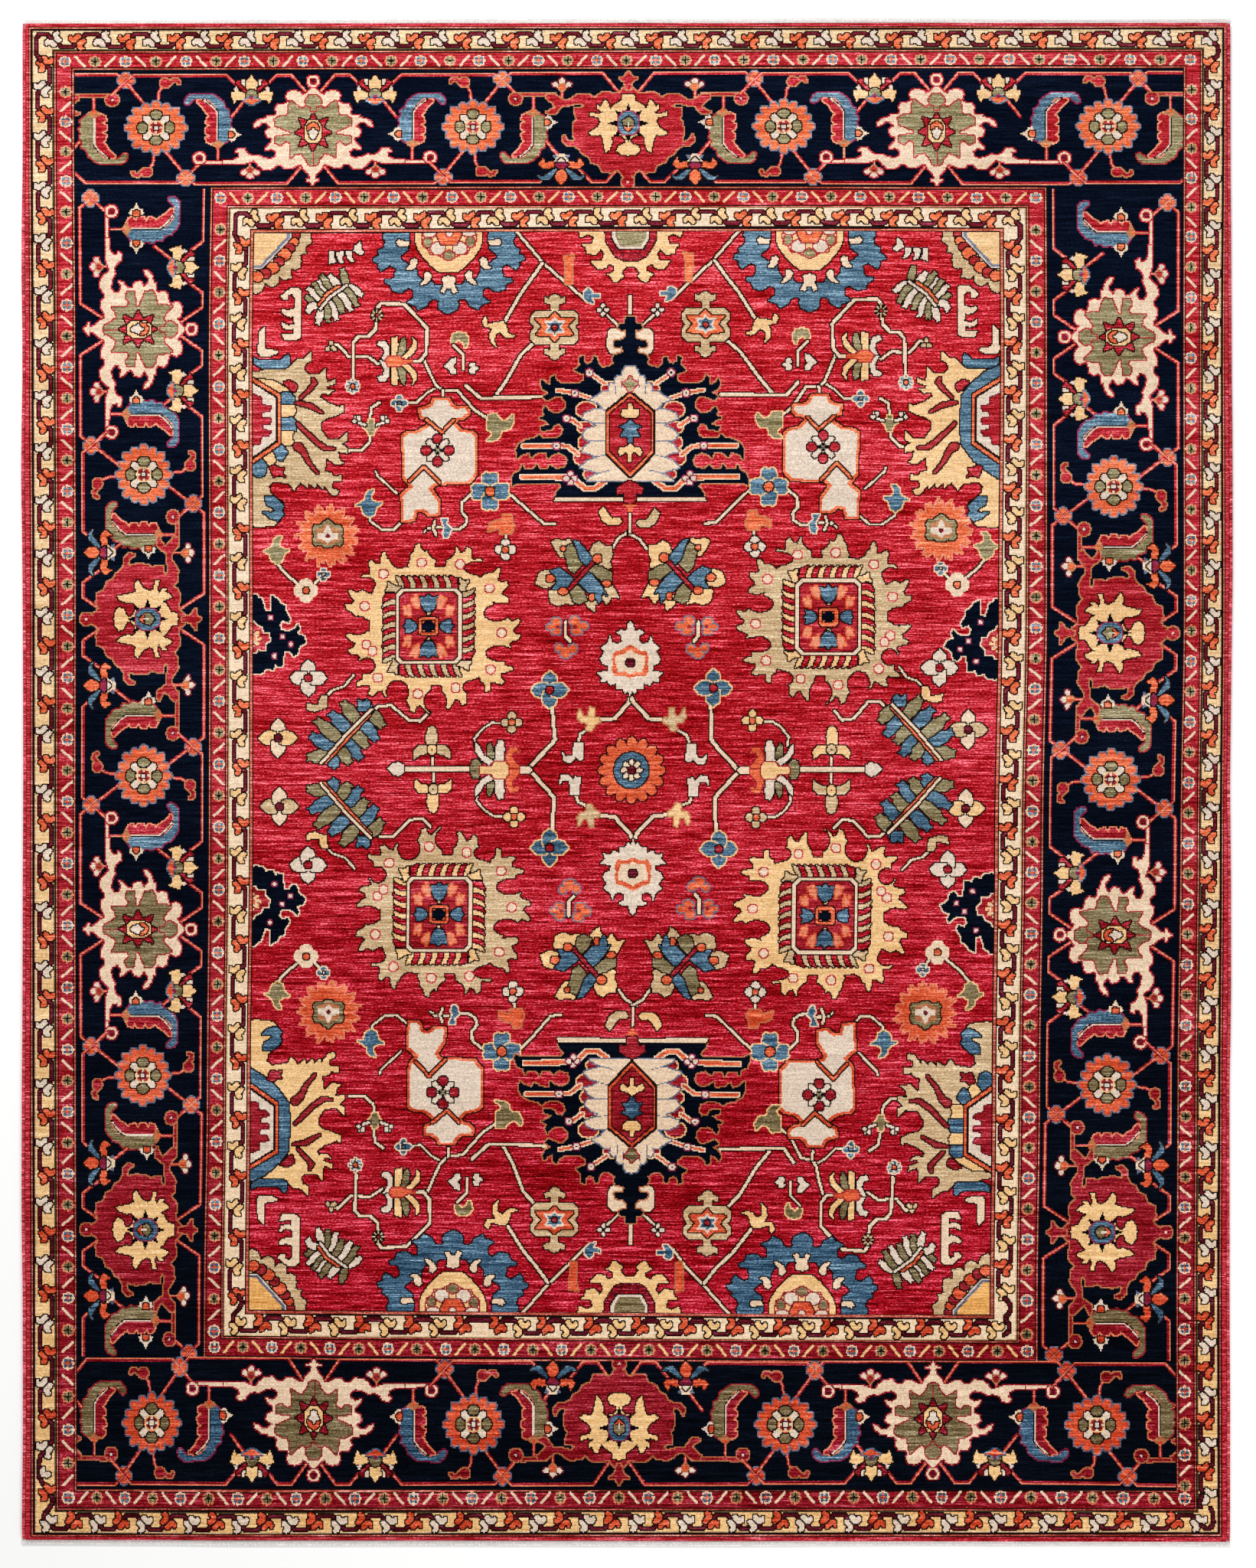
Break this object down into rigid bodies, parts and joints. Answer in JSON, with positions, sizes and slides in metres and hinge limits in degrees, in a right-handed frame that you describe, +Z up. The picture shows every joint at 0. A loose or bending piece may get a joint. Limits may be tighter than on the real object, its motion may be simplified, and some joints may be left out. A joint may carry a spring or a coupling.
{
  "type": "hand-knotted wool rug",
  "caption": "Flat rectangular wool pile rug with a figured field, nested borders, overcast side selvedges and flatwoven cotton ends.",
  "frame": {"origin": "middle of the underside, on the floor", "axes": "+X across the rug, +Y along its length towards the end that was woven last, +Z up out of the pile"},
  "size_m": [2.448, 3.0878, 0.0092],
  "materials": {
    "wool_pile": "sheared wool pile, madder red ground with a many-coloured knotted pattern",
    "wool_overcast": "red wool yarn wrapped round a bundle of warps",
    "cotton_flatweave": "undyed cotton flatweave with slanting stitches"
  },
  "bodies": {
    "root": {"pile_rug": "wool_pile", "selvedge_left": "wool_overcast", "selvedge_right": "wool_overcast", "kilim_end_top": "cotton_flatweave", "kilim_end_bottom": "cotton_flatweave"}
  },
  "joints": []
}
